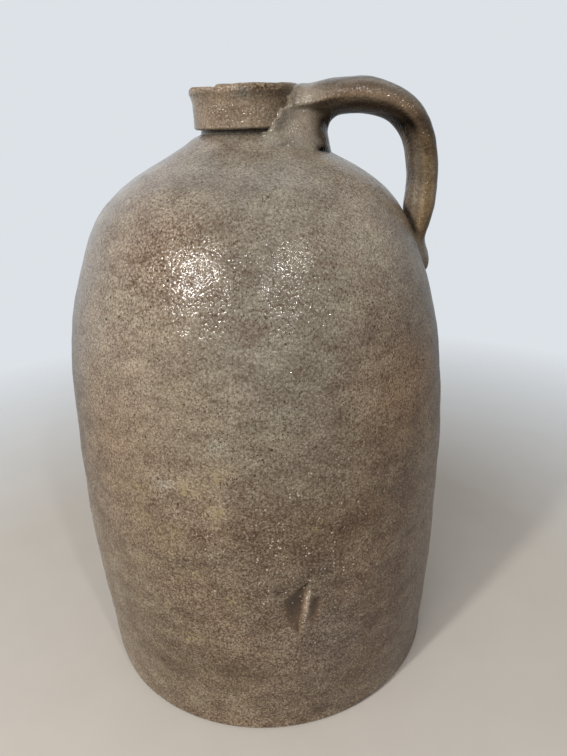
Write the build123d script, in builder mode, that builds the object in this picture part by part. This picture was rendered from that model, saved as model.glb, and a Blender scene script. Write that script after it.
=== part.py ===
"""Stoneware jug: a thrown body in two luted sections, a tooled collar and a pulled strap handle.

Frame: millimetres, +Z up, origin at the centre of the base, handle towards +X.
"""

import os
from math import cos, radians, sin

from build123d import *

# Body: radii from the axis, heights from the base
belly_radius = 110.0
belly_height = 137.0
base_taper = 5.5
wall = 8.0
floor_thickness = 10.0
foot_round = 3.0
floor_round = 14.0

# Shoulder: three tangent arcs from the belly up, each with its radius and its angle in degrees
flank_radius = 616.0
flank_angle = 5.3
shoulder_radius = 213.0
shoulder_angle = 18.0
crown_radius = 82.0
crown_angle = 37.5

# Lap joint where the upper section is luted on the lower one
tongue_height = 6.0
tongue_thickness = 4.0

# Neck: a low neck with a groove under the collar, and a rebate which the collar's tenon is luted into
neck_radius = 25.0
neck_rise = 3.0
groove_radius = 23.5
groove_bevel = 1.0
tenon_radius = 21.0
tenon_length = 5.0
mouth_radius = 15.5

# Collar with a flared lip
collar_radius = 26.8
collar_height = 20.8
collar_bevel = 0.9
lip_radius = 28.2
lip_drop = 3.5
lip_flare = 5.5
lip_round = 2.2

# Strap handle: its centreline and its oval section
strap_width = 32.0
strap_thickness = 18.0
strap_reach = 95.0
strap_side_drop = 43.0
strap_bend_reach = 85.2
strap_bend_drop = 16.4
crest_offset = 60.0
crest_above_rim = 2.5
root_drop = 10.8
root_depth = 5.8
root_rise = 2.0
root_width = 34.0
crest_share = 0.3
side_share = 0.62
side_width = 31.0
side_thickness = 16.0
tail_width = 26.0
tail_thickness = 11.0
taper_share = 0.82
tail_depth = 9.0
tail_lean = 18.0

# Clay wad under the strap's upper end, wrapped round the collar
wad_reach = 29.0
wad_width = 60.0
wad_offset = 17.0
wad_foot_depth = 15.0
wad_top_reach = 18.0
wad_top_width = 42.0
wad_top_offset = 24.0
wad_round = 4.0

# Thumbed pad under the strap's lower end
pad_share = 0.86
pad_width = 30.0
pad_length = 26.0
pad_thickness = 5.0
pad_round = 4.0


def wall_curve(inset, end_radius):
    """Draws the wall at that depth below its outer surface, from the base to the neck. Returns its edges."""
    belly = (belly_radius - inset, belly_height)
    lower = TangentArc(belly, (belly_radius - base_taper - inset, 0), tangent=(0, -1))
    flank = JernArc(belly, (0, 1), flank_radius - inset, flank_angle)
    shoulder = JernArc(flank @ 1, flank % 1, shoulder_radius - inset, shoulder_angle)
    crown = JernArc(shoulder @ 1, shoulder % 1, crown_radius - inset, crown_angle)
    run = (end_radius - (crown @ 1).X) / (crown % 1).X
    cone = Line(crown @ 1, crown @ 1 + (crown % 1) * run)
    return lower, shoulder, cone


def in_section(point):
    """Turns a point of the half section, radius and height, into a point in space on the handle's side."""
    return Vector(point.X, 0, point.Y)


# Levels that follow from the wall's curve
with BuildLine() as outer_curve:
    _, shoulder_edge, cone_edge = wall_curve(0, neck_radius)
neck_foot = (cone_edge @ 1).Y
seat_height = neck_foot + neck_rise
rebate_floor = seat_height - tenon_length
rim_height = seat_height + collar_height

# Outer form of the body, filled
with BuildPart() as outer_form:
    with BuildSketch(Plane.XZ):
        with BuildLine():
            lower, _, cone = wall_curve(0, neck_radius)
            Polyline(
                cone @ 1,
                (groove_radius, neck_foot + groove_bevel),
                (groove_radius, seat_height),
                (0, seat_height),
                (0, 0),
                lower @ 1,
            )
        make_face()
    revolve(axis=Axis.Z)
    fillet(outer_form.faces().sort_by(Axis.Z)[0].edges(), foot_round)

# Hollow of the body, with the mouth's bore and the rebate in the neck
with BuildPart() as hollow:
    with BuildSketch(Plane.XZ):
        with BuildLine():
            lower, _, cone = wall_curve(wall, mouth_radius)
            Polyline(
                cone @ 1,
                (mouth_radius, rebate_floor),
                (tenon_radius, rebate_floor),
                (tenon_radius, seat_height),
                (mouth_radius, seat_height),
                (mouth_radius, rim_height),
                (0, rim_height),
                (0, 0),
                lower @ 1,
            )
        make_face()
        with Locations((0, floor_thickness / 2)):
            Rectangle(2 * belly_radius, floor_thickness, mode=Mode.SUBTRACT)
    revolve(axis=Axis.Z)
    fillet(hollow.faces().sort_by(Axis.Z)[0].edges(), floor_round)

# Everything under the lap joint: a step inside the wall makes the tongue
standing = (Align.CENTER, Align.CENTER, Align.MIN)
with BuildPart() as below_lap:
    Cylinder(2 * belly_radius, belly_height, align=standing)
    Cylinder(belly_radius - wall + tongue_thickness, belly_height + tongue_height, align=standing)

# Lower thrown section: floor and wall, with a tongue at the top
with BuildPart() as lower_body:
    add(outer_form.part)
    add(hollow.part, mode=Mode.SUBTRACT)
    add(below_lap.part, mode=Mode.INTERSECT)

# Upper thrown section: wall, shoulder and low neck
with BuildPart() as upper_body:
    add(outer_form.part)
    add(hollow.part, mode=Mode.SUBTRACT)
    add(below_lap.part, mode=Mode.SUBTRACT)

# Collar, with a tenon that sits in the neck's rebate
with BuildPart() as neck_collar:
    with BuildSketch(Plane.XZ):
        with BuildLine():
            flare_foot = rim_height - lip_drop - lip_flare
            side = Line((collar_radius, seat_height + collar_bevel), (collar_radius, flare_foot))
            flare = TangentArc(side @ 1, (lip_radius, rim_height - lip_drop), tangent=side % 1)
            Polyline(
                flare @ 1,
                (lip_radius, rim_height),
                (mouth_radius, rim_height),
                (mouth_radius, rebate_floor),
                (tenon_radius, rebate_floor),
                (tenon_radius, seat_height),
                (collar_radius - collar_bevel, seat_height),
                side @ 0,
            )
        make_face()
    revolve(axis=Axis.Z)
    fillet(neck_collar.faces().sort_by(Axis.Z)[-1].edges(), lip_round)

# Strap: an oval section pulled along a centreline from the collar, over the crest and down to the shoulder
crest_height = rim_height + crest_above_rim - strap_thickness / 2
tail_point = in_section(shoulder_edge @ 1)
tail_direction = Vector(-sin(radians(tail_lean)), 0, -cos(radians(tail_lean)))
with BuildLine() as strap_path:
    Spline(
        (collar_radius - root_depth, 0, rim_height - root_drop),
        (crest_offset, 0, crest_height),
        (strap_bend_reach, 0, rim_height - strap_bend_drop),
        (strap_reach, 0, rim_height - strap_side_drop),
        tail_point + tail_direction * tail_depth,
        tangents=[(cos(radians(root_rise)), 0, sin(radians(root_rise))), tail_direction],
    )
with BuildPart() as handle_strap:
    for position, width, thickness in (
        (0, root_width, strap_thickness),
        (crest_share, strap_width, strap_thickness),
        (side_share, side_width, side_thickness),
        (taper_share, side_width, side_thickness),
        (1, tail_width, tail_thickness),
    ):
        with BuildSketch(Plane(strap_path.line @ position, x_dir=(0, 1, 0), z_dir=strap_path.line % position)):
            Ellipse(width / 2, thickness / 2)
    sweep(path=strap_path.line, multisection=True)
    add(outer_form.part, mode=Mode.SUBTRACT)
    add(neck_collar.part, mode=Mode.SUBTRACT)

# Wad that fills the corner between collar, shoulder and strap
wad_foot = seat_height - wad_foot_depth
with BuildPart() as handle_wad:
    with BuildSketch(Plane.XY.offset(wad_foot)):
        with Locations((wad_offset, 0)):
            Ellipse(wad_reach, wad_width / 2)
    with BuildSketch(Plane.XY.offset(rim_height - root_drop)):
        with Locations((wad_top_offset, 0)):
            Ellipse(wad_top_reach, wad_top_width / 2)
    loft()
    fillet(handle_wad.faces().sort_by(Axis.Z)[-1].edges(), wad_round)
    add(outer_form.part, mode=Mode.SUBTRACT)
    add(hollow.part, mode=Mode.SUBTRACT)
    add(neck_collar.part, mode=Mode.SUBTRACT)
    add(handle_strap.part, mode=Mode.SUBTRACT)

# Pad thumbed onto the shoulder under the strap's lower end
pad_slope = shoulder_edge % pad_share
pad_plane = Plane(
    in_section(shoulder_edge @ pad_share),
    x_dir=(0, 1, 0),
    z_dir=Vector(pad_slope.Y, 0, -pad_slope.X),
)
with BuildPart() as handle_pad:
    with BuildSketch(pad_plane):
        Ellipse(pad_width / 2, pad_length / 2)
    extrude(amount=pad_thickness)
    outwards = Axis(pad_plane.origin, pad_plane.z_dir)
    fillet(handle_pad.faces().sort_by(outwards)[-1].edges(), pad_round)
    with BuildSketch(pad_plane):
        Ellipse(pad_width / 2, pad_length / 2)
    extrude(amount=-wall)
    add(outer_form.part, mode=Mode.SUBTRACT)
    add(handle_strap.part, mode=Mode.SUBTRACT)

# One file for each piece
os.makedirs("parts", exist_ok=True)
lower_body.part.label = "lower_body"
export_step(lower_body.part, "parts/lower_body.step")
upper_body.part.label = "upper_body"
export_step(upper_body.part, "parts/upper_body.step")
neck_collar.part.label = "neck_collar"
export_step(neck_collar.part, "parts/neck_collar.step")
handle_strap.part.label = "handle_strap"
export_step(handle_strap.part, "parts/handle_strap.step")
handle_wad.part.label = "handle_wad"
export_step(handle_wad.part, "parts/handle_wad.step")
handle_pad.part.label = "handle_pad"
export_step(handle_pad.part, "parts/handle_pad.step")
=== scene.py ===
import bpy
import numpy as np
from mathutils import Matrix, Vector


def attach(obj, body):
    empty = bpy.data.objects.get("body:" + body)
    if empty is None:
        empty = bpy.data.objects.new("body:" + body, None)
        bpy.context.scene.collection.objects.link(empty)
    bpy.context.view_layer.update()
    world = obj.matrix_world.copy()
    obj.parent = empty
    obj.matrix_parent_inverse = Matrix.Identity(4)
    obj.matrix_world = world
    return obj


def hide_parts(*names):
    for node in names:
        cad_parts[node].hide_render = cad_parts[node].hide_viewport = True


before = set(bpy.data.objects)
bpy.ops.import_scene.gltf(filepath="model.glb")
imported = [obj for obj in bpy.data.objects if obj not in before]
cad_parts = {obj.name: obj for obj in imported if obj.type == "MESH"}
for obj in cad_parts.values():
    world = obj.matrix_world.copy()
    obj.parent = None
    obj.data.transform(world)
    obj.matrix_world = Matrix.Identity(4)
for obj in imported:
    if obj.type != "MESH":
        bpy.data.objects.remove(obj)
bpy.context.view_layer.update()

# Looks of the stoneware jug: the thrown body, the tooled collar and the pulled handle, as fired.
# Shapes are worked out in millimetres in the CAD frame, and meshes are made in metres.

scene = bpy.context.scene
METRES = 0.001

# Body, as in the solids. The shoulder's arcs have a radius and an angle in degrees
belly_radius = 110.0
belly_height = 137.0
base_taper = 5.5
wall = 8.0
floor_thickness = 10.0
foot_round = 3.0
floor_round = 14.0
shoulder_arcs = ((616.0, 5.3), (213.0, 18.0), (82.0, 37.5))
tongue_height = 6.0
tongue_thickness = 4.0

# Neck and collar, as in the solids
neck_radius = 25.0
neck_rise = 3.0
groove_radius = 23.5
groove_bevel = 1.0
tenon_radius = 21.0
tenon_length = 5.0
mouth_radius = 15.5
collar_radius = 26.8
collar_height = 20.8
collar_bevel = 0.9
lip_radius = 28.2
lip_drop = 3.5
lip_flare = 5.5
lip_round = 2.2

# Strap, close to the solids: places have a reach and a height over the rim
strap_crest = (60.0, -6.5)
strap_bend = (85.2, -16.4)
strap_side = (95.0, -43.0)
root_start = 21.0
root_drop = 10.8
root_rise = 2.0
tail_depth = 9.0
tail_lean = 18.0

# Strap's sections: share of its run, width and thickness. Its oval is squarer above than below
strap_sections = (
    (0.0, 25.0, 18.0),
    (0.09, 34.0, 18.0),
    (0.3, 32.0, 18.0),
    (0.62, 31.0, 16.0),
    (0.82, 31.0, 16.0),
    (1.0, 26.0, 11.0),
)
strap_top_power = 2.4
strap_under_power = ((0.15, 1.3), (0.35, 1.6))
rolled_edge = 0.7
rolled_run = (0.10, 0.22)

# Wad and pad, close to the solids. The wad's ovals have an offset and two half widths
wad_foot = (17.0, 29.0, 30.0)
wad_top = (24.0, 16.5, 13.0)
wad_foot_depth = 15.0
pad_share = 0.86
pad_half = (13.0, 15.0, 5.0)

# Clay smeared round the collar: its edge has heights over the rim and degrees, its slack is in radians
smear_edge = (
    (-27.0, 74.0),
    (-22.0, 66.0),
    (-19.1, 60.0),
    (-16.0, 56.0),
    (-12.7, 46.0),
    (-10.2, 36.5),
    (-7.0, 39.0),
    (-2.0, 27.0),
)
smear_thickness = 1.8
smear_slack = 0.15
smear_foot_radius = 34.0
smear_foot_drop = 8.0
smear_neck_drop = 2.0
smear_end_drop = 7.0
smear_top_drop = 2.6
smear_edge_round = 0.8
smear_end_round = 1.6

# Box round the handle, then its joints: how wide corners are filled and how deep the handle is sunk
handle_box = ((-4.0, -46.0, 226.0), (110.0, 46.0, 346.0))
wad_blend = ((30, 1.0), (38, 2.5), (44, 11.0))
smear_blend = ((318, 4.0), (329, 6.0))
pad_blend = 5.0
fillet_by_height = (
    (243, 0.8), (248, 3.0), (256, 3.0), (261, 0.8), (285, 0.8), (300, 3.0), (314, 3.0), (319, 0.6),
)
fillet_by_reach = ((32, 3.0), (38, 0.8), (80, 0.8), (84, 3.0))
handle_sink = 0.2
handle_embed = 3.0
handle_trim = 1.5
bore_clearance = 1.0

# Lumps of hand work: height, wavelength, seed and number of waves of each layer
ring_unevenness = (0.6, 55, 11, 8)
ring_wander = (1.1, 80, 12, 8)
body_sway = ((0.34, 110, 13, 10), (0.13, 34, 14, 12), (0.04, 11, 15, 14))
chip_roughness = ((0.22, 5, 21, 12), (0.12, 2.2, 22, 12))
nick_lumps = (1.0, 9, 23, 12)
smear_raggedness = ((0.02, 9, 31, 10), (0.025, 4, 32, 10))
smear_unevenness = (0.35, 12, 33, 10)
handle_sway = ((0.11, 17, 34, 10), (0.04, 6, 35, 10))
collar_sway = ((0.14, 22, 41, 10), (0.05, 7, 42, 10))
streak_lumps = (1.0, 5.5, 51, 14)

# Throwing rings, which fade out at the lap, bead under the neck, and a crown a little fuller than its arc
ring_pitch = 9.5
ring_height = 0.035
lap_fade = (3, 12)
foot_fade = (0, 10)
neck_fade = (-14, -2)
bead_height = 0.5
bead_drop = 1.5
bead_spread = 1.6
crown_swell = 1.4
swell_height = 283
swell_spread = 20

# Scar on the front: a leaning ridge between two hollows. The left one's far edge goes by height
scar_azimuth = -80.15
scar_height = 92.6
scar_lean = 0.157
scar_edge = ((-20, -2), (-17, -5), (-8, -11), (0, -13.5), (5, -14), (11, -8), (15, -1))
scar_left_depth = 2.1
scar_left_end = (-2.4, -0.6)
scar_right_depth = 1.6
scar_right_start = 0.8
scar_right_width = 6.5
scar_right_end = (6.0, 7.8)
scar_right_foot = (-12, -8)
scar_right_top = (1, 5)
scar_slope = 0.75
scar_tone_slope = 0.25
scar_ridge_height = 0.4
scar_ridge_place = -0.6
scar_ridge_half = (1.3, 8)

# Chipped rim: a long chip between two angles in degrees, and small nicks
chip_start = (170, 178)
chip_end = (238, 242.5)
chip_depth = 2.3
nick_depth = 0.5
rim_slack = 0.05

# Mesh sizes
body_columns = 480
column_crowding = 0.4
front_azimuth = -82.0
body_row = 1.35
foot_row = 0.5
inside_row = 7.0
lap_gap = 0.01
skin_depth = 0.4
collar_columns = 360
collar_row = 0.5
tenon_row = 2.0
seam_gap = 0.1
strap_steps = 90
search_blocks = 40
body_sharp = 50
handle_sharp = 80
handle_cell = 0.58


def smoothstep(low, high, value):
    """0 below low, 1 above high, and a soft ramp between."""
    share = np.clip((value - low) / (high - low), 0, 1)
    return share * share * (3 - 2 * share)


def window(start, end, value):
    """1 between a soft start and a soft end."""
    return smoothstep(*start, value) * (1 - smoothstep(*end, value))


def read_off(table, place):
    """Value at a place, off a table of places and values, held at its ends."""
    places, values = np.array(table).T
    return np.interp(place, places, values)


def lumps(points, wavelength, seed, waves):
    """Soft seeded noise over points, about 1 high, with features of about that wavelength."""
    draw = np.random.default_rng(seed)
    total = np.zeros(points.shape[:-1])
    for _ in range(waves):
        direction = draw.normal(size=3)
        direction *= 2 * np.pi / wavelength * draw.uniform(0.7, 1.4) / np.linalg.norm(direction)
        total += np.sin(points @ direction + draw.uniform(0, 2 * np.pi))
    return total * np.sqrt(2 / waves)


def unit(vectors):
    """Rows of vectors made 1 long."""
    return vectors / np.linalg.norm(vectors, axis=1)[:, None]


def layered(points, *layers):
    """Sum of layers of lumps."""
    return sum(height * lumps(points, *layer) for height, *layer in layers)


def bump_at(points, azimuth, height, across, up):
    """A soft hump on the jug's skin, 1 at its middle. Azimuth in degrees, half sizes in millimetres."""
    x, y, z = np.moveaxis(points, -1, 0)
    turn = np.angle(np.exp(1j * (np.arctan2(y, x) - np.radians(azimuth))))
    aside = turn * np.hypot(x, y)
    return np.exp(-((aside / across) ** 2) - ((z - height) / up) ** 2)


# Sections: points of radius and height

def arc(centre, radius, start, end, step):
    """Points on an arc, its angles in radians from the outward direction."""
    count = max(2, int(np.ceil(abs(end - start) * radius / step)) + 1)
    angles = np.linspace(start, end, count)
    return np.column_stack((centre[0] + radius * np.cos(angles), centre[1] + radius * np.sin(angles)))


def line(start, end, step):
    """Points on a straight run."""
    start, end = np.array(start, float), np.array(end, float)
    count = max(2, int(np.ceil(np.linalg.norm(end - start) / step)) + 1)
    return start + (end - start) * np.linspace(0, 1, count)[:, None]


def joined(*runs):
    """One run of points out of several, with no point twice in a row."""
    points = np.vstack(runs)
    same_place = 1e-4
    apart = np.linalg.norm(np.diff(points, axis=0), axis=1) > same_place
    return points[np.concatenate(((True,), apart))]


def polyline(step, *corners):
    """Points on straight runs from corner to corner."""
    return joined(*(line(start, end, step) for start, end in zip(corners, corners[1:])))


lower_radius = (belly_height ** 2 + base_taper ** 2) / (2 * base_taper)
foot_lean = np.arcsin(belly_height / lower_radius)


def lower_wall(inset, start_height, step):
    """The wall from that height up to the belly, at that depth under its outer surface."""
    centre = (belly_radius - inset - lower_radius, belly_height)
    start = np.arcsin((start_height - belly_height) / lower_radius)
    return arc(centre, lower_radius, start, 0, step)


def shoulder_run(inset=0):
    """Centre, radius, first and last angle and last point of each arc of the shoulder, from the belly up."""
    point = np.array((belly_radius - inset, belly_height))
    end = 0.0
    for outer_radius, angle in shoulder_arcs:
        radius = outer_radius - inset
        start, end = end, end + np.radians(angle)
        centre = point - radius * np.array((np.cos(start), np.sin(start)))
        point = centre + radius * np.array((np.cos(end), np.sin(end)))
        yield centre, radius, start, end, point


def upper_wall(inset, end_radius, step):
    """The wall from the belly up to the neck: three tangent arcs and a cone."""
    runs = []
    for centre, radius, start, end, point in shoulder_run(inset):
        runs.append(arc(centre, radius, start, end, step))
    rise = (point[0] - end_radius) / np.tan(end)
    runs.append(line(point, (end_radius, point[1] + rise), step))
    return joined(*runs)


def outer_profile(step):
    """The whole outer wall."""
    return joined(lower_wall(0, 0, step), upper_wall(0, neck_radius, step))


outer_upper = upper_wall(0, neck_radius, body_row)
neck_foot = outer_upper[-1][1]
seat_height = neck_foot + neck_rise
rebate_floor = seat_height - tenon_length
rim_height = seat_height + collar_height
tongue_radius = belly_radius - wall + tongue_thickness
tongue_top = belly_height + tongue_height
tongue_edge = (tongue_radius, tongue_top)
inner_top = (belly_radius - wall, tongue_top)
groove_top = (groove_radius, seat_height)
seat_edge = (tenon_radius, seat_height)
rebate_corner = (tenon_radius, rebate_floor)
rebate_edge = (mouth_radius, rebate_floor)


def lower_section():
    """Section of the lower thrown part, from the middle of its base round to the middle of its floor."""
    touch = foot_round * (1 - np.sin(foot_lean))
    outer = lower_wall(0, touch, body_row)
    foot_centre = (outer[0][0] - foot_round * np.cos(foot_lean), foot_round)
    inner = lower_wall(wall, floor_thickness + floor_round, inside_row)[::-1]
    floor_centre = (inner[-1][0] - floor_round, floor_thickness + floor_round)
    return joined(
        line((0, 0), (foot_centre[0], 0), inside_row),
        arc(foot_centre, foot_round, -np.pi / 2, -foot_lean, foot_row),
        outer,
        polyline(inside_row, outer[-1], (tongue_radius, belly_height), tongue_edge, inner_top, inner[0]),
        inner,
        arc(floor_centre, floor_round, 0, -np.pi / 2, inside_row / 2),
        line((floor_centre[0], floor_thickness), (0, floor_thickness), inside_row),
    )


def upper_section():
    """Closed ring section of the upper thrown part, outside first."""
    inner = upper_wall(wall, mouth_radius, inside_row)[::-1]
    inner = inner[inner[:, 1] > tongue_top + 1]
    return joined(
        outer_upper,
        polyline(body_row / 2, outer_upper[-1], (groove_radius, neck_foot + groove_bevel), groove_top),
        polyline(inside_row, groove_top, seat_edge, rebate_corner, rebate_edge, inner[0]),
        inner,
        polyline(inside_row, inner[-1], inner_top, tongue_edge, (tongue_radius, belly_height + lap_gap)),
    )


def collar_section():
    """Closed ring section of the collar, up its outside, over the lip and down the bore."""
    flare_foot = rim_height - lip_drop - lip_flare
    spread = lip_radius - collar_radius
    flare_radius = (lip_flare ** 2 + spread ** 2) / (2 * spread)
    flare_turn = np.arcsin(lip_flare / flare_radius)
    flare_centre = (collar_radius + flare_radius, flare_foot)
    lip_top = rim_height - lip_round
    under_edge = (collar_radius - collar_bevel, seat_height)
    side_foot = (collar_radius, seat_height + collar_bevel)
    quarter = np.pi / 2
    return joined(
        polyline(collar_row, groove_top, under_edge, side_foot, (collar_radius, flare_foot)),
        arc(flare_centre, flare_radius, np.pi, np.pi - flare_turn, collar_row),
        line((lip_radius, rim_height - lip_drop), (lip_radius, lip_top), collar_row),
        arc((lip_radius - lip_round, lip_top), lip_round, 0, quarter, collar_row / 2),
        line((lip_radius - lip_round, rim_height), (mouth_radius + lip_round, rim_height), collar_row),
        arc((mouth_radius + lip_round, lip_top), lip_round, quarter, 2 * quarter, collar_row / 2),
        line((mouth_radius, lip_top), rebate_edge, 3 * collar_row),
        polyline(tenon_row, rebate_edge, rebate_corner, seat_edge, (groove_radius - seam_gap, seat_height)),
    )


# Marks of throwing, drying and firing

def scar(points):
    """Places across and above the scar's leaning ridge, and the far edge of its left hollow."""
    x, y, z = np.moveaxis(points, -1, 0)
    up = z - scar_height
    aside = (np.arctan2(y, x) - np.radians(scar_azimuth)) * belly_radius - scar_lean * up
    return aside, up, read_off(scar_edge, up)


def scar_hollows(points, soft):
    """Shares of the scar's left and right hollows. Their floors slope down over that part of their width."""
    aside, up, edge = scar(points)
    left = smoothstep(0, 1, (aside - edge) / np.maximum(-soft * edge, 1.5))
    left = left * (1 - smoothstep(*scar_left_end, aside)) * smoothstep(1.0, 4.0, -edge)
    slope = (scar_right_start, scar_right_start + scar_right_width * soft)
    right = window(slope, scar_right_end, aside) * window(scar_right_foot, scar_right_top, up)
    return left, right


def scar_ridge(points):
    """Share of the ridge between the scar's hollows."""
    aside, up, _ = scar(points)
    half_width, half_height = scar_ridge_half
    return np.exp(-(((aside - scar_ridge_place) / half_width) ** 2) - (up / half_height) ** 2)


def body_relief(points):
    """How far the body's skin stands out of its plain form: throwing rings, sway, crown, bead and scar."""
    x, y, z = np.moveaxis(points, -1, 0)
    off_lap = smoothstep(*lap_fade, np.abs(z - belly_height))
    climb = z / ring_pitch + np.arctan2(y, x) / (2 * np.pi)
    rings = np.sin(2 * np.pi * climb + layered(points, ring_wander))
    rings = ring_height * off_lap * (1 + layered(points, ring_unevenness)) * rings
    swell = crown_swell * np.exp(-(((z - swell_height) / swell_spread) ** 2))
    fade = window(foot_fade, np.add(neck_fade, neck_foot), z)
    bead = bead_height * np.exp(-(((z - neck_foot + bead_drop) / bead_spread) ** 2))
    left, right = scar_hollows(points, scar_slope)
    dent = -scar_left_depth * left - scar_right_depth * right + scar_ridge_height * scar_ridge(points)
    return fade * (rings + layered(points, *body_sway) + swell) + dent + bead


def chipped_rim(points):
    """Level that the collar's rim is broken down to, round the mouth."""
    turn = np.degrees(np.arctan2(points[..., 1], points[..., 0])) % 360
    chip = window(chip_start, chip_end, turn)
    nick = nick_depth * smoothstep(1.1, 1.9, layered(points * (1, 1, 0.1), nick_lumps))
    return rim_height - chip * (chip_depth + layered(points, *chip_roughness)) - nick + rim_slack


# Meshes

def make_piece(name, points, faces, slot, nodes, sharp=body_sharp):
    """A mesh object in metres that rides on the jug and stands for those nodes."""
    mesh = bpy.data.meshes.new(name)
    mesh.from_pydata((points * METRES).tolist(), [], faces)
    mesh.update()
    mesh.polygons.foreach_set("use_smooth", np.ones(len(mesh.polygons), bool))
    mesh.set_sharp_from_angle(angle=np.radians(sharp))
    piece = bpy.data.objects.new(name, mesh)
    scene.collection.objects.link(piece)
    mesh.materials.append(glazes[slot])
    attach(piece, "root")
    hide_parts(*nodes)
    return piece


def lathe(section, columns, closed):
    """Points and faces of a section turned round the axis. An open section starts and ends on the axis."""
    angles = np.linspace(0, 2 * np.pi, columns, endpoint=False)
    angles = angles - column_crowding * np.sin(angles - np.radians(front_azimuth))
    rows = section if closed else section[1:-1]
    ring = np.stack((np.cos(angles), np.sin(angles)), axis=-1)
    points = np.empty((len(rows), columns, 3))
    points[..., :2] = rows[:, None, :1] * ring
    points[..., 2] = rows[:, None, 1]
    ahead, behind = np.roll(rows, -1, axis=0), np.roll(rows, 1, axis=0)
    if not closed:
        ahead[-1], behind[0] = section[-1], section[0]
    along = unit(ahead - behind)
    normals = np.empty_like(points)
    normals[..., :2] = along[:, None, 1:] * ring
    normals[..., 2] = -along[:, :1]
    index = np.arange(len(rows) * columns).reshape(len(rows), columns)
    if closed:
        index = np.vstack((index, index[:1]))
    right = np.roll(index, -1, axis=1)
    quads = np.stack((index[:-1], right[:-1], right[1:], index[1:]), axis=-1).reshape(-1, 4)
    return points, normals, quads, index, right


def thrown(name, section, closed, slot, nodes):
    """A thrown part of the body, with its relief on the outside."""
    points, normals, quads, index, right = lathe(section, body_columns, closed)
    rows = section if closed else section[1:-1]
    profile = outer_profile(body_row / 2)
    apart = np.linalg.norm(rows[:, None] - profile, axis=-1)
    skin = np.min(apart, axis=1) < skin_depth
    slopes = unit(np.gradient(profile, axis=0)[np.argmin(apart, axis=1)])
    spin = points[..., :2] / np.maximum(rows[:, None, :1], 1)
    normals[skin, :, :2] = slopes[skin, None, 1:] * spin[skin]
    normals[skin, :, 2] = -slopes[skin, :1]
    points = points + normals * (body_relief(points) * skin[:, None])[..., None]
    points = points.reshape(-1, 3)
    faces = quads.tolist()
    if not closed:
        low, high = len(points), len(points) + 1
        points = np.vstack((points, (0, 0, section[0][1]), (0, 0, section[-1][1])))
        faces += [(low, b, a) for a, b in zip(index[0], right[0])]
        faces += [(high, a, b) for a, b in zip(index[-1], right[-1])]
    return make_piece(name, points, faces, slot, nodes)


def without_pinches(field, cell):
    """The field filled in wherever the form would touch itself only along an edge of the grid."""
    pinched = np.ones(1, bool)
    while pinched.any():
        inside = field < 0
        pinched = np.zeros(field.shape, bool)
        for axis in range(3):
            here = np.moveaxis(inside, axis, 0)
            marks = np.moveaxis(pinched, axis, 0)
            low, high = here[:, :-1, :-1], here[:, 1:, 1:]
            left, right = here[:, 1:, :-1], here[:, :-1, 1:]
            crossed = (low == high) & (left == right) & (low != left)
            for across in (slice(None, -1), slice(1, None)):
                for up in (slice(None, -1), slice(1, None)):
                    marks[:, across, up] |= crossed
        pinched &= ~inside
        field = np.where(pinched, -0.1 * cell, field)
    return field


def surface_nets(field, origin, cell):
    """Closed quads on the zero surface of a distance field on a grid, negative inside."""
    size = np.array(field.shape) - 1
    corners = np.argwhere(np.ones((2, 2, 2)))

    def at(corner):
        return field[tuple(slice(c, c + n) for c, n in zip(corner, size))]

    inside = sum((at(corner) < 0).astype(np.int8) for corner in corners)
    cut = (inside > 0) & (inside < 8)
    places = np.argwhere(cut)
    number = np.full(cut.shape, -1, np.int32)
    number[cut] = np.arange(len(places))
    total = np.zeros((len(places), 3))
    crossings = np.zeros(len(places))
    for a in corners:
        for axis in range(3):
            if a[axis]:
                continue
            b = a + np.eye(3, dtype=int)[axis]
            here, there = at(a)[cut], at(b)[cut]
            crosses = (here < 0) != (there < 0)
            share = here[crosses] / (here[crosses] - there[crosses])
            total[crosses] += a + share[:, None] * (b - a)
            crossings[crosses] += 1
    points = origin + cell * (places + total / crossings[:, None])
    quads = []
    for axis in range(3):
        second, third = (axis + 1) % 3, (axis + 2) % 3
        low = np.take(field, range(field.shape[axis] - 1), axis=axis)
        high = np.take(field, range(1, field.shape[axis]), axis=axis)
        edges = np.argwhere((low < 0) != (high < 0))
        outward = (low < 0)[tuple(edges.T)]
        around = []
        for back_second, back_third in ((1, 1), (0, 1), (0, 0), (1, 0)):
            place = edges.copy()
            place[:, second] -= back_second
            place[:, third] -= back_third
            around.append(number[tuple(place.T)])
        ring = np.stack(around, axis=-1)
        ring[~outward] = ring[~outward][:, ::-1]
        quads.append(ring)
    return points, np.vstack(quads).tolist()


# Handle as a distance field

shoulder_centre, shoulder_radius, _, _, tail_point = list(shoulder_run())[1]
tail_direction = np.array((-np.sin(np.radians(tail_lean)), -np.cos(np.radians(tail_lean))))


def smooth_min(a, b, width):
    """The smaller of two distances, with the corner between them filled over that width."""
    share = np.clip(0.5 + 0.5 * (b - a) / width, 0, 1)
    return b + (a - b) * share - width * share * (1 - share)


def smooth_max(a, b, width):
    """The larger of two distances, with the edge between them rounded over that width."""
    return -smooth_min(-a, -b, width)


def oval_distance(u, v, half_u, half_v, power):
    """Distance to a flat oval, near enough for blends, and true at its edge."""
    u, v = np.abs(u) / half_u, np.abs(v) / half_v
    level = np.maximum((u ** power + v ** power) ** (1 / power), 1e-3)
    slope = np.hypot((u / level) ** (power - 1) / half_u, (v / level) ** (power - 1) / half_v)
    return (level - 1) / np.maximum(slope, 0.5 / half_u)


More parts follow.
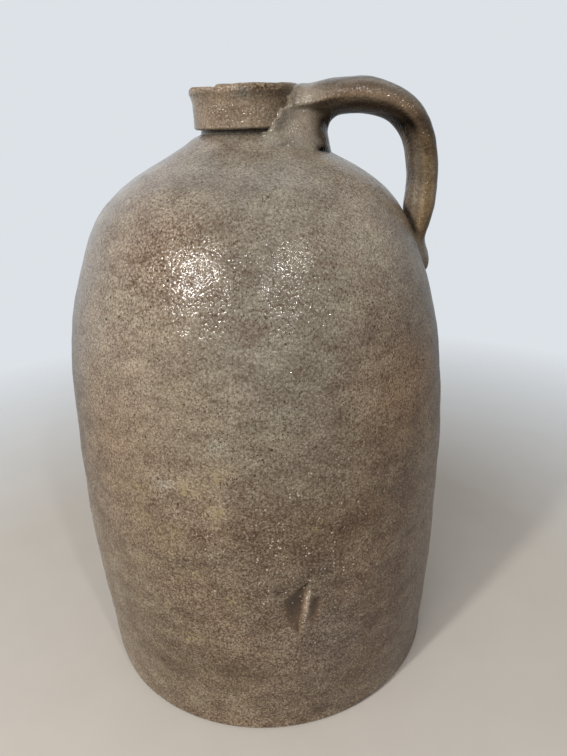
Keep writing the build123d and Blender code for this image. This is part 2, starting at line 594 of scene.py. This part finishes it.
def strap_line():
    """The strap's centreline in the plane of the handle, as points of reach and height, close together."""
    knots = [(root_start, rim_height - root_drop)]
    knots += [(reach, rim_height + rise) for reach, rise in (strap_crest, strap_bend, strap_side)]
    knots = np.array(knots + [tail_direction * tail_depth + tail_point])
    spans = np.linalg.norm(np.diff(knots, axis=0), axis=1)
    count = len(knots)
    balance = np.zeros((count, count))
    target = np.zeros((count, 2))
    balance[0, 0] = balance[-1, -1] = 1
    target[0] = np.cos(np.radians(root_rise)), np.sin(np.radians(root_rise))
    target[-1] = tail_direction
    for i in range(1, count - 1):
        before, after = spans[i - 1], spans[i]
        balance[i, i - 1:i + 2] = after, 2 * (before + after), before
        to_here, from_here = knots[i] - knots[i - 1], knots[i + 1] - knots[i]
        target[i] = 3 * (after * to_here / before + before * from_here / after)
    slopes = np.linalg.solve(balance, target)
    pieces = []
    for i, span in enumerate(spans):
        t = np.linspace(0, 1, strap_steps, endpoint=i == count - 2)[:, None]
        pieces.append(
            (2 * t ** 3 - 3 * t ** 2 + 1) * knots[i]
            + (t ** 3 - 2 * t ** 2 + t) * span * slopes[i]
            + (3 * t ** 2 - 2 * t ** 3) * knots[i + 1]
            + (t ** 3 - t ** 2) * span * slopes[i + 1]
        )
    return np.vstack(pieces)


def along_strap(places):
    """Share of the strap's run, offset outwards and way past its ends, for places of reach and height."""
    path = strap_line()
    along = unit(np.gradient(path, axis=0))
    run = np.concatenate(((0,), np.cumsum(np.linalg.norm(np.diff(path, axis=0), axis=1))))
    nearest = np.concatenate([
        np.argmin(((block[:, None] - path) ** 2).sum(axis=-1), axis=1)
        for block in np.array_split(places, search_blocks)
    ])
    offset = places - path[nearest]
    normal = np.stack((-along[nearest, 1], along[nearest, 0]), axis=-1)
    outwards = (offset * normal).sum(axis=1)
    past = np.abs((offset * along[nearest]).sum(axis=1))
    ends = (nearest == 0) | (nearest == len(path) - 1)
    return run[nearest] / run[-1], outwards, np.where(ends, past, -belly_radius)


def strap_distance(x, y, z):
    """Distance to the strap: its section pulled along the centreline, with its edge rolled at the root."""
    places = np.stack(np.broadcast_arrays(x, z), axis=-1)[:, 0].reshape(-1, 2)
    shape = (x.shape[0], 1, z.shape[2])
    run, outwards, past = (values.reshape(shape) for values in along_strap(places))
    shares, widths, depths = np.array(strap_sections).T
    half_width = np.interp(run, shares, widths / 2)
    half_depth = np.interp(run, shares, depths / 2)
    power = np.where(outwards > 0, strap_top_power, read_off(strap_under_power, run))
    flat = oval_distance(y, outwards, half_width, half_depth, power)
    rolled = np.exp(-(((outwards + 0.2) / 1.4) ** 2)) * (1 - smoothstep(*rolled_run, run))
    return np.maximum(flat - rolled_edge * rolled, past)


def wad_distance(x, y, z):
    """Distance to the wad: an oval heap, wider at its foot."""
    foot, top = seat_height - wad_foot_depth, rim_height - root_drop
    share = np.clip((z - foot) / (top - foot), 0, 1)
    middle, half_x, half_y = (a + (b - a) * share for a, b in zip(wad_foot, wad_top))
    heap = oval_distance(x - middle, y, half_x, half_y, 2.0)
    return np.maximum(heap, np.maximum(z - top, foot - z))


def smear_distance(x, y, z, ragged, thick):
    """Distance to the clay smeared round the collar. Its edge slants from the rim down to the neck."""
    radius = np.hypot(x, y)
    levels, angles = np.array(smear_edge).T
    reach = np.radians(np.interp(z, rim_height + levels, angles)) + ragged
    edge = (np.abs(np.arctan2(y, x)) - reach) * radius
    levels = (seat_height - smear_foot_drop, seat_height - smear_neck_drop)
    skin = radius - np.interp(z, levels, (smear_foot_radius, collar_radius)) - thick
    ends = np.maximum(z - (rim_height - smear_top_drop), seat_height - smear_end_drop - z)
    return smooth_max(smooth_max(skin, edge, smear_edge_round), ends, smear_end_round)


def pad_distance(x, y, z):
    """Distance to the pad thumbed onto the shoulder under the strap's end."""
    turn = np.radians(shoulder_arcs[0][1] + pad_share * shoulder_arcs[1][1])
    centre = shoulder_centre + shoulder_radius * np.array((np.cos(turn), np.sin(turn)))
    out = (x - centre[0]) * np.cos(turn) + (z - centre[1]) * np.sin(turn)
    up = (z - centre[1]) * np.cos(turn) - (x - centre[0]) * np.sin(turn)
    half_up, half_side, half_out = pad_half
    return oval_distance(np.hypot(up / half_up, y / half_side) * half_up, out, half_up, half_out, 2.0)


def wall_distance(radius, z):
    """Distance to the body's plain outer form from the flank up, with the collar's core filled."""
    distance = None
    for centre, size, start, end, point in shoulder_run():
        turn = np.arctan2(z - centre[1], radius - centre[0])
        here = np.hypot(radius - centre[0], z - centre[1]) - size
        distance = here if distance is None else np.where(turn > start, here, distance)
    cone = (radius - point[0]) * np.cos(end) + (z - point[1]) * np.sin(end)
    distance = np.where(turn > end, cone, distance)
    return np.minimum(distance, np.maximum(radius - groove_radius, z - rim_height + lip_drop))


def collar_distance(radius, z):
    """Distance to the collar, its bore filled."""
    section = collar_section()
    outside = section[:np.argmax(section[:, 1])]
    side = radius - np.interp(z, outside[:, 1], outside[:, 0])
    return np.maximum(side, np.maximum(seat_height - z, z - rim_height))


def handle_mesh():
    """Points and faces of the handle: strap, wad, smear and pad grown together and sunk into the jug."""
    low, high = np.array(handle_box)
    counts = np.ceil((high - low) / handle_cell).astype(int) + 1
    steps = (start + handle_cell * np.arange(count) for start, count in zip(low, counts))
    x, y, z = np.meshgrid(*steps, indexing="ij", sparse=True)
    points = np.stack(np.broadcast_arrays(x, y, z), axis=-1)
    radius = np.hypot(x, y)
    pad = pad_distance(x, y, z)
    handle = smooth_min(strap_distance(x, y, z), wad_distance(x, y, z), read_off(wad_blend, x))
    near = np.minimum(handle, smear_distance(x, y, z, smear_slack, smear_thickness))
    near = np.minimum(near, pad)
    ragged = layered(points, *smear_raggedness)
    thick = smear_thickness + layered(points, smear_unevenness)
    handle = smooth_min(handle, smear_distance(x, y, z, ragged, thick), read_off(smear_blend, z))
    handle = smooth_min(handle, pad, pad_blend) + layered(points, *handle_sway)
    host = np.minimum(wall_distance(radius, z) - body_relief(points), collar_distance(radius, z))
    fillet = np.minimum(read_off(fillet_by_height, z), read_off(fillet_by_reach, x))
    field = smooth_min(host + handle_sink, handle, fillet)
    field = smooth_max(field, near - fillet - handle_trim, handle_trim)
    field = smooth_max(field, -(host + handle_embed), handle_trim)
    field = smooth_max(field, tenon_radius + bore_clearance - radius, bore_clearance)
    return surface_nets(without_pinches(field, handle_cell), low, handle_cell)


# Shader nodes

def source(tree, kind, **settings):
    """A new node in a tree."""
    made = tree.nodes.new("ShaderNode" + kind)
    for key, value in settings.items():
        setattr(made, key, value)
    return made


def node(kind, inputs, **settings):
    """A new node beside its inputs, which are values or sockets, by name or number."""
    sockets = {key: value for key, value in inputs.items() if isinstance(value, bpy.types.NodeSocket)}
    tree = next(iter(sockets.values())).id_data
    made = source(tree, kind, **settings)
    for key, value in inputs.items():
        if key in sockets:
            tree.links.new(value, made.inputs[key])
        else:
            made.inputs[key].default_value = value
    return made


def maths(operation, *values):
    """Result of a sum on numbers and sockets."""
    return node("Math", dict(enumerate(values)), operation=operation).outputs[0]


def product(*values):
    """Two sockets, or a socket and a number, multiplied."""
    return maths("MULTIPLY", *values)


def swayed(base, pattern, share, middle=0.5):
    """Base, moved by a share of how far a pattern is off its middle."""
    return maths("MULTIPLY_ADD", maths("SUBTRACT", pattern, middle), share, base)


def between(share, first, second):
    """Number between two."""
    return maths("MULTIPLY_ADD", share, maths("SUBTRACT", second, first), first)


def ranged(value, low, high, start=0.0, end=1.0):
    """Value mapped from low..high to start..end, held at the ends."""
    numbers = {"Value": value, "From Min": low, "From Max": high, "To Min": start, "To Max": end}
    return node("MapRange", numbers).outputs[0]


def mixed(share, first, second, blend="MIX"):
    """Colour between two, or one multiplied by the other."""
    return node("Mix", {0: share, 6: first, 7: second}, data_type="RGBA", blend_type=blend).outputs[2]


def noise(vector, size, detail=2.0, roughness=0.5):
    """Noise with features of about that size in millimetres."""
    numbers = {"Vector": vector, "Scale": 1 / (size * METRES), "Detail": detail, "Roughness": roughness}
    return node("TexNoise", numbers).outputs[0]


def cells(vector, size, feature="F1"):
    """Cells of about that size in millimetres."""
    return node("TexVoronoi", {"Vector": vector, "Scale": 1 / (size * METRES)}, feature=feature)


def dots(vector, spacing, channel, least, smallest, largest):
    """Distance to the edges of round dots. Those with a chance over the least one grow up to the largest."""
    dot = cells(vector, spacing)
    chance = node("SeparateColor", {0: dot.outputs["Color"]}).outputs[channel]
    size = ranged(chance, least, 1.0, smallest, largest)
    return maths("SUBTRACT", dot.outputs["Distance"], size)


def ramp(value, *stops):
    """Colour ramp over stops of place and colour."""
    made = node("ValToRGB", {0: value})
    elements = made.color_ramp.elements
    while len(elements) < len(stops):
        elements.new(0.5)
    for element, (place, colour) in zip(elements, stops):
        element.position = place
        element.color = (*colour, 1)
    return made.outputs[0]


# Glaze: sizes of its patterns in millimetres
cloud_size = 70
blotch_size = 15
blotch_flattening = 1.7
flush_size = 30
sand_size = 0.8
peel_size = 1.2
speck_drift_size = 22
glint_spacing = 1.8
glint_crowd_size = 11
pit_spacing = 38
gloss_size = 3
skin_layers = ((0.7, 0.45), (4, 0.5))
unevenness_size = 6
skin_height = 0.21
pit_depth = 2.0

# Glaze: colours. Its ramp goes from thick pale glaze to bare brown clay
glaze_ramp = (
    (0.05, (0.44, 0.393, 0.328)),
    (0.35, (0.275, 0.230, 0.178)),
    (0.60, (0.173, 0.127, 0.088)),
    (0.95, (0.072, 0.042, 0.025)),
)
usual_depth = 0.36
warm_tint = (1.07, 0.945, 0.79, 1)
grey_tint = (0.95, 1.0, 1.04, 1)
olive_tint = (0.965, 1.015, 0.97, 1)
pink_tint = (1.045, 0.975, 1.01, 1)
stains = (
    ("ochre", 2.2, (0.37, 0.29, 0.155, 1)),
    ("rust", 1.3, (0.075, 0.040, 0.018, 1)),
)
speck_colour = (0.060, 0.034, 0.020, 1)
# Warm white of the pale specks painted as glints: a painted highlight colour
glint_colour = (0.80, 0.72, 0.60, 1)
pit_colour = (0.012, 0.009, 0.007, 1)
slip_colours = ((0.030, 0.016, 0.009, 1), (0.075, 0.042, 0.022, 1))
bare_colours = ((0.24, 0.18, 0.12, 1), (0.42, 0.34, 0.25, 1))

# Iron specks, fine and large: spacing, least chance, largest share of the spacing and strength
speck_kinds = ((0.85, 0.4, 0.46, 0.85), (4.2, 0.6, 0.17, 0.9))

# Local tones that each piece stores on its vertices
tone_names = (
    "light", "brown", "grey", "pink", "rust", "ochre", "dull", "coarse", "bumpy", "painted_glints", "slip", "bare",
)


def with_specks(place, coarse, colour):
    """Colour with iron specks that gather in drifts."""
    drift = ranged(noise(place, speck_drift_size), 0.35, 0.65, 0.55, 1.15)
    for spacing, least, largest, strength in speck_kinds:
        edge = maths("DIVIDE", dots(place, spacing, 0, least, 0.0, largest), largest)
        share = product(ranged(edge, -0.15, 0.15, strength, 0.0), coarse)
        colour = mixed(product(share, drift), colour, speck_colour)
    return colour


def with_painted_glints(place, painted_glints, colour):
    """Colour with pale specks painted as glints (painted highlights), which gather in crowds."""
    edge = dots(place, glint_spacing, 1, 0.4, -0.05, 0.30)
    crowd = product(painted_glints, ranged(noise(place, glint_crowd_size), 0.42, 0.58))
    share = product(ranged(edge, -0.03, 0.03, 1.0, 0.0), crowd)
    return mixed(share, colour, glint_colour)


def salt_glaze(name):
    """Salt-glazed stoneware: grey-tan glaze over brown clay, orange-peel skin, iron specks and pinholes."""
    material = bpy.data.materials.new(name)
    material.use_nodes = True
    tree = material.node_tree
    shader = tree.nodes["Principled BSDF"]
    place = source(tree, "TexCoord").outputs["Object"]
    tones = {}
    for tone_name in tone_names:
        tones[tone_name] = source(tree, "Attribute", attribute_name=tone_name).outputs["Fac"]
    coarse = tones["coarse"]

    flattened = node("VectorMath", {0: place, 1: (1, 1, blotch_flattening)}, operation="MULTIPLY").outputs[0]
    clouds = noise(place, cloud_size, 3, 0.55)
    blotches = noise(flattened, blotch_size, 4, 0.65)
    sand = noise(place, sand_size, 2, 0.7)
    peel = cells(place, peel_size, "SMOOTH_F1").outputs["Distance"]
    pits = ranged(cells(place, pit_spacing).outputs["Distance"], 0.010, 0.018, 1.0, 0.0)

    # Brown clay that shows through the glaze
    grain = swayed(maths("SUBTRACT", sand, 0.5), peel, 0.5, 0.35)
    depth = maths("ADD", tones["brown"], usual_depth)
    depth = maths("MULTIPLY_ADD", grain, coarse, depth)
    mottled = maths("MULTIPLY_ADD", coarse, 0.4, 0.3)
    for pattern, share in ((clouds, 0.6), (blotches, mottled)):
        depth = swayed(depth, pattern, share)
    colour = ramp(depth, *glaze_ramp)

    # Tints, stains and spots
    hue = maths("ADD", tones["grey"], 0.5)
    for pattern, share in ((clouds, 1.2), (blotches, 0.9)):
        hue = swayed(hue, pattern, share)
    flush = noise(flattened, flush_size, 3, 0.6)
    flush = maths("MULTIPLY_ADD", tones["pink"], 0.5, flush)
    # The light tone scales the colour: random glaze lightness in places, painted light and shade in others
    glow = maths("ADD", tones["light"], 1.0)
    for tint in (
        mixed(hue, warm_tint, grey_tint),
        mixed(flush, olive_tint, pink_tint),
        node("CombineColor", {0: glow, 1: glow, 2: glow}).outputs[0],
    ):
        colour = mixed(1.0, colour, tint, "MULTIPLY")
    for stain, size, stain_colour in stains:
        streaked = ranged(noise(place, size, 1.5), 0.46, 0.58)
        colour = mixed(product(tones[stain], streaked), colour, stain_colour)
    colour = with_specks(place, coarse, colour)
    colour = with_painted_glints(place, tones["painted_glints"], colour)
    colour = mixed(pits, colour, pit_colour)
    colour = mixed(tones["slip"], colour, mixed(blotches, *slip_colours))
    colour = mixed(tones["bare"], colour, mixed(sand, *bare_colours))

    # Gloss, with glassy spots
    rough = maths("MULTIPLY_ADD", blotches, 0.14, 0.07)
    rough = maths("ADD", rough, tones["dull"])
    glassy = ranged(noise(place, gloss_size, 2, 0.6), 0.58, 0.66, 1.0, 0.3)
    rough = product(rough, glassy)
    rough = maths("MULTIPLY_ADD", tones["bare"], 0.6, rough)

    # Orange-peel skin and pinholes
    skin = product(peel, -1.0)
    for size, share in skin_layers:
        skin = maths("MULTIPLY_ADD", noise(place, size), share, skin)
    skin = product(skin, tones["bumpy"])
    unevenness = ranged(noise(place, unevenness_size, 2, 0.6), 0.3, 0.7, 0.45, 1.6)
    skin = product(skin, unevenness)
    skin = maths("MULTIPLY_ADD", pits, -pit_depth, skin)
    bump = node("Bump", {"Height": skin, "Strength": 1.0, "Distance": skin_height * METRES}).outputs[0]
    for key, value in (("Base Color", colour), ("Roughness", rough), ("Normal", bump)):
        tree.links.new(value, shader.inputs[key])
    return material


# Tones of the glaze: azimuth, height, half width and half height, then what changes there
tone_patches = (
    (-119, 268, 26, 26, dict(light=0.04, brown=0.14, grey=-0.1, pink=0.3, coarse=0.6, bumpy=0.15)),
    (-84, 235, 34, 65, dict(grey=0.4, pink=-0.3)),
    (-80, 165, 60, 80, dict(light=-0.18)),
    (-92, 298, 42, 18, dict(light=-0.24, brown=-0.04, grey=0.2)),
    (-140, 245, 45, 50, dict(light=0.16, grey=0.2, pink=0.2)),
    (-48, 268, 34, 30, dict(light=0.22, brown=-0.05, grey=0.2)),
    (-138, 180, 30, 40, dict(grey=-0.35, pink=0.3)),
    (-45, 195, 34, 34, dict(light=0.22, brown=0.10, grey=-0.5, pink=0.8)),
    (-75, 135, 60, 14, dict(brown=0.10, grey=-0.2, pink=0.3)),
    (-75, 70, 34, 35, dict(light=-0.03, grey=0.1, pink=0.4)),
    # painted glints on the lower front
    (-80, 120, 55, 60, dict(bumpy=0.2, painted_glints=0.9)),
    (-45, 80, 38, 60, dict(light=-0.02, brown=0.13, grey=-0.6, pink=0.9)),
    (-130, 70, 40, 55, dict(light=-0.04, grey=-0.6, pink=-0.4)),
    (-90, 268, 22, 18, dict(light=-0.16)),
    (-117, 220, 16, 35, dict(light=-0.09)),
    (-82, 260, 14, 14, dict(bumpy=0.1, dull=-0.06)),
    (-104, 152, 24, 20, dict(light=0.24)),
    (-60, 212, 24, 34, dict(light=0.16)),
    (-72, 66, 20, 22, dict(light=0.12, grey=0.5)),
    (-101, 185, 5, 4, dict(light=0.25, grey=0.4)),
    (-116, 163, 6, 5, dict(light=0.2, grey=0.5)),
    (-102, 170, 5, 4, dict(ochre=0.8)),
    (-110, 162, 6, 4, dict(ochre=0.8)),
    (-102, 151, 5, 4, dict(ochre=0.9)),
    (-125, 144, 6, 4, dict(ochre=0.7, rust=0.3)),
    (-77, 140, 5, 4, dict(ochre=0.7)),
    (-100, 98, 4, 4, dict(ochre=0.7)),
    (-114, 68, 6, 5, dict(ochre=0.8)),
    (-124, 158, 8, 4, dict(ochre=0.7, rust=0.6)),
    (-118, 137, 10, 5, dict(ochre=0.9, rust=0.6)),
    # the next two also carry painted glints
    (-110, 114, 6, 4, dict(ochre=0.6, rust=0.5, painted_glints=0.6)),
    (-107, 137, 8, 5, dict(rust=0.9, painted_glints=1.0)),
    (-128, 67, 8, 8, dict(rust=0.6)),
    (-121, 38, 14, 12, dict(brown=0.12, rust=0.8, ochre=0.3)),
    (-101, 48, 18, 9, dict(light=-0.06, brown=0.22, rust=0.8, ochre=0.2)),
    (-77, 12, 7, 5, dict(light=-0.35, brown=0.15, dull=0.1)),
    # painted shade in the crease where the wad's foot meets the shoulder
    (-14, 305, 9, 3, dict(light=-0.5)),
)
least_tone = 0.1


def bore_share(points):
    """1 on the jug's inside, 0 on its outside."""
    radius, height = np.hypot(points[:, 0], points[:, 1]), points[:, 2]
    profile = outer_profile(body_row)
    sunk = smoothstep(3, 5, np.interp(height, profile[:, 1], profile[:, 0]) - radius)
    in_neck = 1 - smoothstep(mouth_radius + 0.5, mouth_radius + 2, radius)
    in_neck = in_neck * (1 - smoothstep(rim_height - 4, rim_height - 1.5, height))
    return np.where(height < floor_thickness / 2, 0, np.where(height < neck_foot, sunk, in_neck))


def groove_shade(points):
    """1 in the groove under the collar, which gets painted shade."""
    return window((neck_foot, neck_foot + 0.8), (seat_height, seat_height + 1.2), points[:, 2])


def crevice_shade(points):
    """1 in the tight corners between the handle and the shoulder, which get painted shade."""
    x, y, z = points.T
    apart = wall_distance(np.hypot(x, y), z) - body_relief(points)
    return (1 - smoothstep(0.8, 4.0, apart)) * smoothstep(33, 38, x) * smoothstep(256, 262, z)


def points_of(piece):
    """A piece's vertices in millimetres."""
    flat = np.empty(len(piece.data.vertices) * 3)
    piece.data.vertices.foreach_get("co", flat)
    return flat.reshape(-1, 3) / METRES


def tone(piece, *offsets):
    """Stores local tones on a piece's vertices. Offsets are pairs of a share and what changes by it."""
    points = points_of(piece)
    height = points[:, 2]
    lower = 1 - smoothstep(60, 230, height)
    hollows = sum(scar_hollows(points, scar_tone_slope))
    patches = [(bump_at(points, *place), changes) for *place, changes in tone_patches]
    patches += [
        (1, dict(grey=0.1, coarse=1.0, bumpy=1.0)),
        (lower, dict(light=-0.16, brown=0.08, grey=-0.45, dull=0.18, coarse=0.85, bumpy=0.8)),
        # Scar hollows: browner, smoother clay with painted shade
        (hollows, dict(light=-0.12, brown=0.1, grey=-0.5, coarse=-1.2, bumpy=-1.6)),
        # Painted shade, deepest in the upper part of the hollows
        (hollows * smoothstep(-14, 2, height - scar_height), dict(light=-0.2, brown=0.1)),
        # Painted highlight along the scar's ridge
        (scar_ridge(points), dict(light=2.0, grey=1.5, coarse=-1.0, bumpy=-1.0, dull=-0.1)),
        (bore_share(points), dict(slip=1.0, dull=0.1)),
        (1 - smoothstep(0.2, 1.2, height), dict(bare=1.0)),
    ]
    patches += offsets
    values = {tone_name: np.zeros(len(points)) for tone_name in tone_names}
    for share, changes in patches:
        for tone_name, change in changes.items():
            values[tone_name] += share * change
    for tone_name in ("coarse", "bumpy"):
        values[tone_name] = np.maximum(values[tone_name], least_tone)
    for tone_name, value in values.items():
        attribute = piece.data.attributes.new(tone_name, "FLOAT", "POINT")
        attribute.data.foreach_set("value", value.astype(np.float32))


# Body
glazes = {slot: salt_glaze(slot) for slot in ("body_glaze", "collar_glaze", "handle_glaze")}
lower_part = thrown("lower_part", lower_section(), False, "body_glaze", ["lower_body"])
upper_part = thrown("upper_part", upper_section(), True, "body_glaze", ["upper_body"])
tone(lower_part)
upper_points = points_of(upper_part)
neck_bead = np.exp(-(((upper_points[:, 2] - neck_foot + 1.2) / 1.5) ** 2))
tone(
    upper_part,
    # Painted shade in the groove under the collar
    (groove_shade(upper_points), dict(light=-0.55)),
    (neck_bead, dict(light=-0.08, dull=-0.06)),
)

# Collar
collar_rows = collar_section()
collar_points, collar_normals, collar_quads, _, _ = lathe(collar_rows, collar_columns, True)
collar_skin = (collar_rows[:, 0] > mouth_radius + 6) & (collar_rows[:, 1] > seat_height + 0.5)
collar_relief = layered(collar_points, *collar_sway) * collar_skin[:, None]
collar_points = collar_points + collar_normals * collar_relief[..., None]
collar_points[..., 2] = np.minimum(collar_points[..., 2], chipped_rim(collar_points))
collar_points = collar_points.reshape(-1, 3)
collar = make_piece("collar", collar_points, collar_quads.tolist(), "collar_glaze", ["neck_collar"])
collar_points = points_of(collar)
tone(
    collar,
    # Painted shade in the groove under the collar
    (groove_shade(collar_points), dict(light=-0.55)),
    (1, dict(light=0.11, brown=0.02, grey=-0.3, coarse=-0.2, bumpy=0.2)),
    (smoothstep(rim_height - 4, rim_height - 2, collar_points[:, 2]), dict(light=0.10, rust=0.25)),
    # Painted shadow of the smear's edge on the collar, a little browner
    (bump_at(collar_points, -46, 330, 5, 9), dict(light=-0.3, brown=0.1)),
    (bump_at(collar_points, -70, 336, 7, 2.5), dict(rust=0.8)),
    (bump_at(collar_points, -90, 334.5, 4, 2.5), dict(light=-0.3, grey=0.8)),
    # painted glints on the collar's front
    (bump_at(collar_points, -104, 326, 10, 5), dict(bumpy=1.2, dull=-0.06, painted_glints=2.0)),
)

# Handle
handle_points, handle_faces = handle_mesh()
handle_nodes = ["handle_strap", "handle_wad", "handle_pad"]
handle = make_piece("handle", handle_points, handle_faces, "handle_glaze", handle_nodes, handle_sharp)
reach, across, height = handle_points.T
strap_run, strap_out, _ = along_strap(handle_points[:, [0, 2]])
on_strap = smoothstep(31, 44, reach) * smoothstep(250, 266, height)
strap_edge = smoothstep(0.72, 0.95, np.abs(across) / 15.5) * smoothstep(-3.5, -0.5, strap_out)
strap_under = 1 - smoothstep(-3.0, 0.0, strap_out)
strap_high = smoothstep(306, 318, height)
strap_low = 1 - strap_high
strap_flank = np.exp(-((strap_out / 3.5) ** 2)) * strap_low
strap_streaks = layered(np.column_stack((20 * strap_run, across, strap_out)), streak_lumps)
# Where painted shade darkens the wad's back side
wad_back_shade = smoothstep(32, 40, reach) * window((285, 290), (317, 326), height)
tone(
    handle,
    (1, dict(light=0.02, grey=0.2, coarse=-0.55, dull=-0.02)),
    (on_strap, dict(light=-0.03, brown=0.15, grey=-0.5, rust=0.15, bumpy=0.6)),
    (on_strap * strap_edge, dict(light=0.02, brown=0.04)),
    # Painted shade under the strap's arch
    (on_strap * strap_under * strap_high, dict(light=-0.62)),
    # Painted shade on the wad's back side
    (wad_back_shade, dict(light=-0.38, brown=0.05)),
    # Painted reflection of the pale backdrop on the lower strap's inner face
    (on_strap * strap_under * strap_low, dict(light=0.15, grey=0.7)),
    # Painted reflection of the pale backdrop on the lower strap's outer side
    (on_strap * smoothstep(4, 7, strap_out) * strap_low, dict(light=0.3, grey=0.8)),
    # Painted shade darkens the arch's top, and its glaze is made greyer
    (on_strap * smoothstep(0, 5, strap_out) * strap_high, dict(light=-0.26, grey=0.7)),
    (on_strap * strap_streaks, dict(brown=0.07, light=-0.05)),
    (on_strap * strap_flank, dict(light=0.08, grey=-0.6, pink=-0.9, ochre=0.2)),
    (bump_at(handle_points, -27, 331, 9, 6), dict(light=-0.03, bumpy=0.8, dull=0.16)),
    # painted glints on the wad's front
    (bump_at(handle_points, -45, 315, 14, 5), dict(bumpy=0.8, dull=-0.05, painted_glints=2.0)),
    # Painted shade in the crease between the handle and the shoulder
    (crevice_shade(handle_points), dict(light=-0.66)),
)

# Stage: sizes in metres
floor_radius = 0.65
floor_sides = 96
floor_fade = (0.22, 0.62)
floor_grain_size = 40
floor_colour = (0.58, 0.54, 0.49)
floor_paler = 1.04
floor_bounce = 0.45
floor_roughness = 0.7
backdrop_strength = 0.80
backdrop_colour = (0.90, 0.95, 1.0, 1)
room_colour = (1.0, 1.0, 1.0, 1)
key_colour = (1.0, 0.97, 0.93)
fill_colour = (1.0, 0.98, 0.95)
shoulder_front = (0.0, -0.09, 0.26)
jug_middle = (0, 0, 0.2)


def scaled(colour, factor):
    """A colour made lighter or darker, for a socket."""
    return (*(min(1.0, channel * factor) for channel in colour), 1)


def floor_material():
    """A matt pale floor with a faint grain that fades out into the backdrop away from the jug."""
    material = bpy.data.materials.new("pale_floor")
    material.use_nodes = True
    tree = material.node_tree
    shader = tree.nodes["Principled BSDF"]
    place = source(tree, "TexCoord").outputs["Object"]
    grain = ranged(noise(place, floor_grain_size, 3), 0.3, 0.7)
    grained = mixed(grain, scaled(floor_colour, 1), scaled(floor_colour, floor_paler))
    bounced = source(tree, "LightPath").outputs["Is Diffuse Ray"]
    shown = mixed(bounced, grained, scaled(floor_colour, floor_bounce))
    tree.links.new(shown, shader.inputs["Base Color"])
    shader.inputs["Roughness"].default_value = floor_roughness
    distance = node("VectorMath", {0: place}, operation="LENGTH").outputs["Value"]
    clear = source(tree, "BsdfTransparent").outputs[0]
    fade = ranged(distance, *floor_fade)
    surface = node("MixShader", {0: fade, 1: shader.outputs[0], 2: clear}).outputs[0]
    tree.links.new(surface, tree.nodes["Material Output"].inputs["Surface"])
    return material


floor_turns = np.linspace(0, 2 * np.pi, floor_sides, endpoint=False)
floor_corners = [(floor_radius * np.cos(turn), floor_radius * np.sin(turn), 0) for turn in floor_turns]
floor_mesh = bpy.data.meshes.new("floor")
floor_mesh.from_pydata(floor_corners, [], [tuple(range(floor_sides))])
floor = bpy.data.objects.new("floor", floor_mesh)
scene.collection.objects.link(floor)
floor_mesh.materials.append(floor_material())


def studio_world():
    """A pale backdrop, a dim room for soft light, and a room brighter behind the jug for its reflections."""
    world = bpy.data.worlds.new("studio")
    world.use_nodes = True
    tree = world.node_tree
    tree.nodes.clear()
    path = source(tree, "LightPath").outputs
    towards = node("SeparateXYZ", {0: source(tree, "TexCoord").outputs["Generated"]}).outputs
    room = ranged(towards["Z"], -0.2, 0.7, 0.06, 0.44)
    mirrored = ranged(towards["Y"], -0.3, 0.7, 0.22, 0.80)
    mirrored = product(mirrored, ranged(towards["X"], -0.2, 0.8, 1.0, 0.45))
    mirrored = product(mirrored, ranged(towards["Z"], -0.5, 0.0, 0.2, 1.0))
    seen = maths("MAXIMUM", path["Is Camera Ray"], path["Is Transmission Ray"])
    strength = between(path["Is Glossy Ray"], room, mirrored)
    strength = between(seen, strength, backdrop_strength)
    pale = maths("MAXIMUM", seen, path["Is Glossy Ray"])
    colour = mixed(pale, room_colour, backdrop_colour)
    backdrop = node("Background", {"Color": colour, "Strength": strength})
    node("OutputWorld", {"Surface": backdrop.outputs[0]})
    return world


def area_light(name, place, aim, size, power, colour):
    """A round lamp at a place in metres, facing a point."""
    lamp = bpy.data.lights.new(name, "AREA")
    lamp.shape = "DISK"
    lamp.size = size
    lamp.energy = power
    lamp.color = colour
    made = bpy.data.objects.new(name, lamp)
    made.location = place
    made.rotation_euler = (Vector(aim) - Vector(place)).to_track_quat("-Z", "Y").to_euler()
    scene.collection.objects.link(made)
    return made


scene.world = studio_world()
area_light("key_left", (-0.682, -0.800, 0.858), shoulder_front, 0.10, 6.9, key_colour)
area_light("key_right", (0.354, -0.965, 0.930), shoulder_front, 0.07, 2.9, key_colour)
fill = area_light("soft_fill", (-0.75, -1.2, 0.9), jug_middle, 1.0, 9.7, fill_colour)
fill.visible_glossy = False

# Camera at the photograph's place: yaw, pitch and roll in degrees
camera_place = (0.0, -0.3592, 0.3242)
camera_angles = (2.431, 22.750, -2.118)
yaw, pitch, roll = np.radians(camera_angles)
turned = Matrix.Rotation(-yaw, 4, "Z")
tilted = Matrix.Rotation(np.pi / 2 - pitch, 4, "X")
rolled = Matrix.Rotation(roll, 4, "Z")
lens = bpy.data.cameras.new("camera")
lens.lens = 30.0
lens.sensor_width = 36.0
lens.clip_start = 0.01
camera = bpy.data.objects.new("camera", lens)
camera.matrix_world = Matrix.Translation(camera_place) @ turned @ tilted @ rolled
scene.collection.objects.link(camera)
scene.camera = camera

scene.view_settings.view_transform = "Standard"
